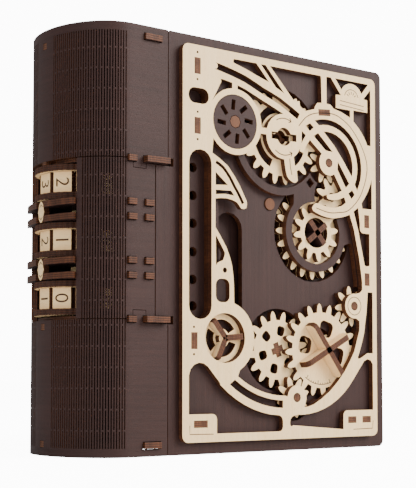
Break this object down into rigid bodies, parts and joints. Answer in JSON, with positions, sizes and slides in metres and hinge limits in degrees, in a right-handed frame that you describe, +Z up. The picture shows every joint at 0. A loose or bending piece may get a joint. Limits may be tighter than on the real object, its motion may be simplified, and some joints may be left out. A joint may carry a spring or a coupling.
{
  "type": "book-shaped cryptex puzzle box",
  "caption": "Plywood puzzle box shaped like an upright book, with code wheels in its round spine and a hinged cover of meshing gears under a pierced tracery.",
  "frame": {"origin": "centre of the object's footprint, on the surface that the book stands on", "axes": "+Z up the book's height, +X across the front cover away from the spine, +Y into the book from the front cover to the back cover"},
  "size_m": [0.1724, 0.0718, 0.185],
  "materials": {
    "stained": "dark brown stained plywood, satin",
    "bare": "pale bare plywood with scorched cut edges",
    "edge_grain": "laser-scorched plywood edge"
  },
  "bodies": {
    "case": {"back_cover": "stained", "bottom_wall": "stained", "top_wall": "stained", "fore_edge_wall": "stained", "partition": "stained", "wheel_rib_low": "stained", "wheel_rib_mid_low": "stained", "wheel_rib_mid_high": "stained", "wheel_rib_high": "stained", "hinge_rib_low": "stained", "hinge_rib_high": "stained", "spine_wrap_top": "stained", "spine_wrap_bottom": "stained", "spine_wrap_front": "stained", "spine_wrap_back": "stained", "wheel_shaft": "bare", "pointer_low": "bare", "pointer_high": "bare", "hinge_pin_low": "edge_grain", "hinge_pin_high": "edge_grain"},
    "cover": {"cover_frame": "stained", "mechanism_plate": "stained", "spacer_frame": "stained", "cover_back_plate": "stained", "tracery": "bare", "upper_idler_pin": "stained", "right_pinion_pin": "stained", "bottom_pinion_pin": "stained"},
    "lock": {"lock_gear": "bare", "lock_pinion": "stained"},
    "upper_idler": {"upper_idler": "bare"},
    "lower_idler": {"lower_idler": "bare", "lower_idler_pin": "stained"},
    "compound": {"compound_front_gear": "bare", "compound_big_gear": "bare", "compound_drive_gear": "bare", "compound_ribs": "edge_grain"},
    "driven": {"driven_pinion": "bare", "driven_plug": "bare"},
    "bolt": {"lock_bolt": "stained"},
    "knob": {"knob_gear": "bare", "knob_pinion": "bare", "knob_grip": "edge_grain"},
    "left_gear": {"left_gear": "bare", "left_gear_stem": "edge_grain"},
    "right_pinion": {"right_pinion": "bare"},
    "bottom_pinion": {"bottom_pinion": "bare"},
    "spoke_wheel": {"spoke_wheel": "bare", "spoke_blades": "edge_grain"},
    "dial": {"slotted_dial": "stained", "dial_plug": "bare"},
    "wheel_low": {"wheel_low_foot_disc": "edge_grain", "wheel_low_top_disc": "edge_grain", "wheel_low_digits": "bare"},
    "wheel_mid": {"wheel_mid_foot_disc": "edge_grain", "wheel_mid_top_disc": "edge_grain", "wheel_mid_digits": "bare"},
    "wheel_high": {"wheel_high_foot_disc": "edge_grain", "wheel_high_top_disc": "edge_grain", "wheel_high_digits": "bare"}
  },
  "joints": [
    {"name": "cover_hinge", "type": "hinge", "parent": "case", "child": "cover", "pos_m": [-0.0448, -0.02857, 0.0925], "axis": [0, 0, -1], "range_deg": [0, 110]},
    {"name": "lock_turn", "type": "hinge", "parent": "cover", "child": "lock", "pos_m": [0.02147, -0.03008, 0.14495], "axis": [0, -1, 0], "range_deg": [0, 90]},
    {"name": "upper_idler_turn", "type": "hinge", "parent": "cover", "child": "upper_idler", "pos_m": [0.0492, -0.03008, 0.1356], "axis": [0, -1, 0], "range_deg": [-225, 0]},
    {"name": "lower_idler_turn", "type": "hinge", "parent": "cover", "child": "lower_idler", "pos_m": [0.0534, -0.03008, 0.1198], "axis": [0, -1, 0], "range_deg": [0, 225]},
    {"name": "compound_turn", "type": "hinge", "parent": "cover", "child": "compound", "pos_m": [0.0434, -0.03008, 0.102], "axis": [0, -1, 0], "range_deg": [-150, 0]},
    {"name": "driven_turn", "type": "hinge", "parent": "cover", "child": "driven", "pos_m": [0.0173, -0.03008, 0.1138], "axis": [0, -1, 0], "range_deg": [0, 375]},
    {"name": "bolt_slide", "type": "slide", "parent": "cover", "child": "bolt", "axis": [1, 0, 0], "range_m": [0, 0.0081]},
    {"name": "knob_turn", "type": "hinge", "parent": "cover", "child": "knob", "pos_m": [0.0463, -0.03008, 0.0464], "axis": [0, -1, 0], "continuous": true},
    {"name": "left_gear_turn", "type": "hinge", "parent": "cover", "child": "left_gear", "pos_m": [0.0219, -0.03008, 0.0463], "axis": [0, -1, 0], "continuous": true},
    {"name": "right_pinion_turn", "type": "hinge", "parent": "cover", "child": "right_pinion", "pos_m": [0.065, -0.03008, 0.0678], "axis": [0, -1, 0], "continuous": true},
    {"name": "bottom_pinion_turn", "type": "hinge", "parent": "cover", "child": "bottom_pinion", "pos_m": [0.0287, -0.03008, 0.0243], "axis": [0, -1, 0], "continuous": true},
    {"name": "spoke_wheel_turn", "type": "hinge", "parent": "cover", "child": "spoke_wheel", "pos_m": [-0.0128, -0.03008, 0.05095], "axis": [0, -1, 0], "continuous": true},
    {"name": "dial_turn", "type": "hinge", "parent": "cover", "child": "dial", "pos_m": [-0.007, -0.03008, 0.1484], "axis": [0, -1, 0], "continuous": true},
    {"name": "wheel_low_turn", "type": "hinge", "parent": "case", "child": "wheel_low", "pos_m": [-0.0671, 0.00293, 0.0675], "axis": [0, 0, 1], "continuous": true},
    {"name": "wheel_mid_turn", "type": "hinge", "parent": "case", "child": "wheel_mid", "pos_m": [-0.0671, 0.00293, 0.0925], "axis": [0, 0, 1], "continuous": true},
    {"name": "wheel_high_turn", "type": "hinge", "parent": "case", "child": "wheel_high", "pos_m": [-0.0671, 0.00293, 0.1175], "axis": [0, 0, 1], "continuous": true}
  ],
  "couplings": [
    {"joint": "upper_idler_turn", "follows": "lock_turn", "ratio": -2.5},
    {"joint": "lower_idler_turn", "follows": "lock_turn", "ratio": 2.5},
    {"joint": "compound_turn", "follows": "lock_turn", "ratio": -1.6667},
    {"joint": "driven_turn", "follows": "lock_turn", "ratio": 4.1667},
    {"joint": "bolt_slide", "follows": "lock_turn", "m_per_rad": 0.005125},
    {"joint": "left_gear_turn", "follows": "knob_turn", "ratio": -0.5},
    {"joint": "right_pinion_turn", "follows": "knob_turn", "ratio": -2.5},
    {"joint": "bottom_pinion_turn", "follows": "knob_turn", "ratio": -2.5}
  ]
}
